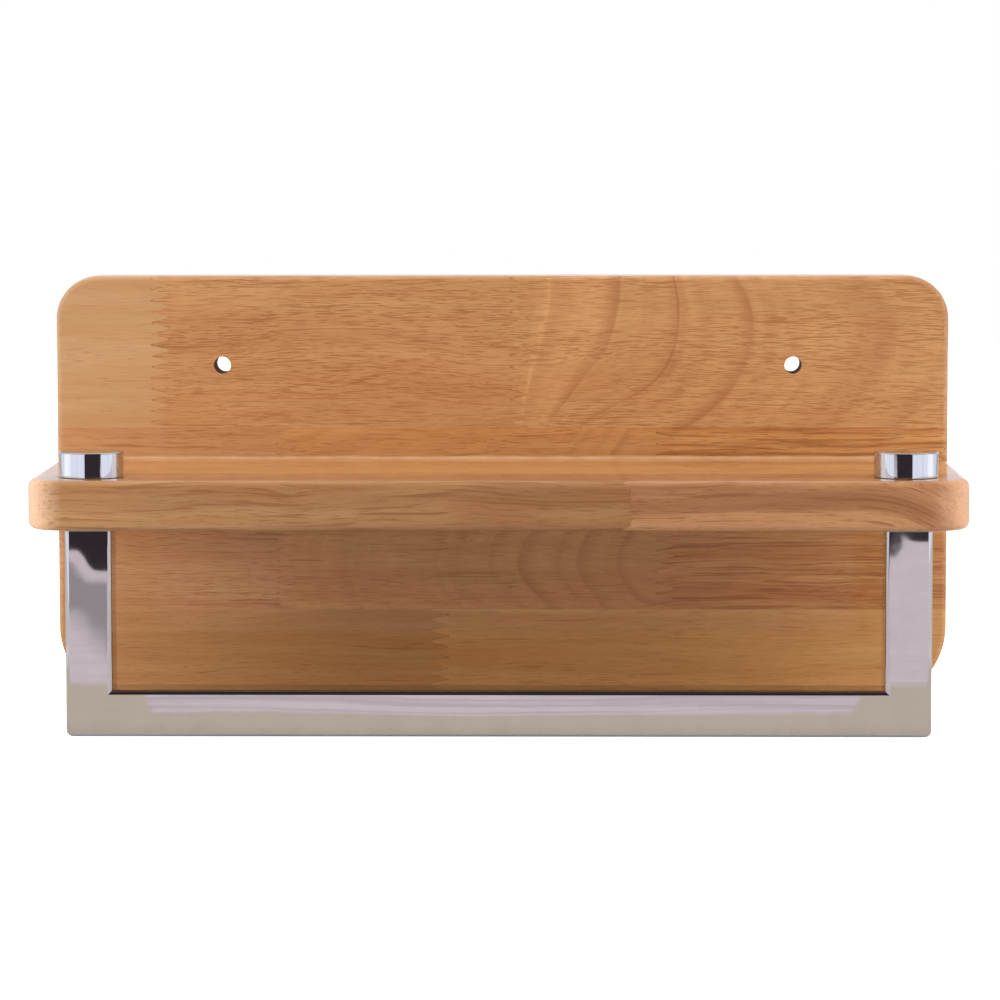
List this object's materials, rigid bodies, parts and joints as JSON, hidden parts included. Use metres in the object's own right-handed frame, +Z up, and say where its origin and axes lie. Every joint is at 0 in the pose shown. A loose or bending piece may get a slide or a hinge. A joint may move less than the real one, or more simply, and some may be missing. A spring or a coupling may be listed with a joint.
{
  "type": "wall shelf with hanging rail",
  "caption": "Wooden bathroom wall shelf on a rounded back board, with a closed square-tube chrome rail hung under it by two round cap nuts.",
  "frame": {"origin": "on the wall face of the back board, midway along it, at the height of the two wall holes", "axes": "+X to the right along the boards, +Y into the wall, +Z up; the shelf reaches out towards -Y"},
  "size_m": [0.3, 0.106, 0.1445],
  "materials": {
    "pale_stave": "clear satin lacquer",
    "amber_stave": "clear satin lacquer",
    "rose_stave": "clear satin lacquer",
    "dowel_wood": "raw beech",
    "chrome_tube": "polished",
    "chrome_cap": "polished",
    "plug_steel": "plated, dull",
    "zinc_steel": "bright zinc",
    "washer_nylon": "moulded"
  },
  "bodies": {
    "holder": {"top_left_stave": "pale_stave", "top_middle_stave": "rose_stave", "top_right_stave": "amber_stave", "middle_left_stave": "rose_stave", "middle_centre_stave": "amber_stave", "middle_right_stave": "rose_stave", "bottom_left_stave": "amber_stave", "bottom_right_stave": "pale_stave", "shelf_front_left_stave": "pale_stave", "shelf_front_right_stave": "rose_stave", "shelf_rear_left_stave": "amber_stave", "shelf_rear_right_stave": "pale_stave", "shelf_screws": "zinc_steel", "shelf_dowels": "dowel_wood", "cross_bar": "chrome_tube", "left_leg": "chrome_tube", "right_leg": "chrome_tube", "left_end_plug": "plug_steel", "right_end_plug": "plug_steel", "left_stud": "zinc_steel", "right_stud": "zinc_steel"},
    "left_washer_slider": {"left_washer": "washer_nylon"},
    "left_cap": {"left_cap_nut": "chrome_cap"},
    "right_washer_slider": {"right_washer": "washer_nylon"},
    "right_cap": {"right_cap_nut": "chrome_cap"}
  },
  "joints": [
    {"name": "left_cap_lift", "type": "slide", "parent": "holder", "child": "left_washer_slider", "axis": [0, 0, 1], "range_m": [0, 0.005]},
    {"name": "left_cap_turn", "type": "hinge", "parent": "left_washer_slider", "child": "left_cap", "pos_m": [-0.1303, -0.0885, -0.0275], "axis": [0, 0, 1], "range_deg": [0, 1800]},
    {"name": "right_cap_lift", "type": "slide", "parent": "holder", "child": "right_washer_slider", "axis": [0, 0, 1], "range_m": [0, 0.005]},
    {"name": "right_cap_turn", "type": "hinge", "parent": "right_washer_slider", "child": "right_cap", "pos_m": [0.1303, -0.0885, -0.0275], "axis": [0, 0, 1], "range_deg": [0, 1800]}
  ],
  "couplings": [
    {"joint": "left_cap_lift", "follows": "left_cap_turn", "m_per_rad": 0.00015915},
    {"joint": "right_cap_lift", "follows": "right_cap_turn", "m_per_rad": 0.00015915}
  ]
}
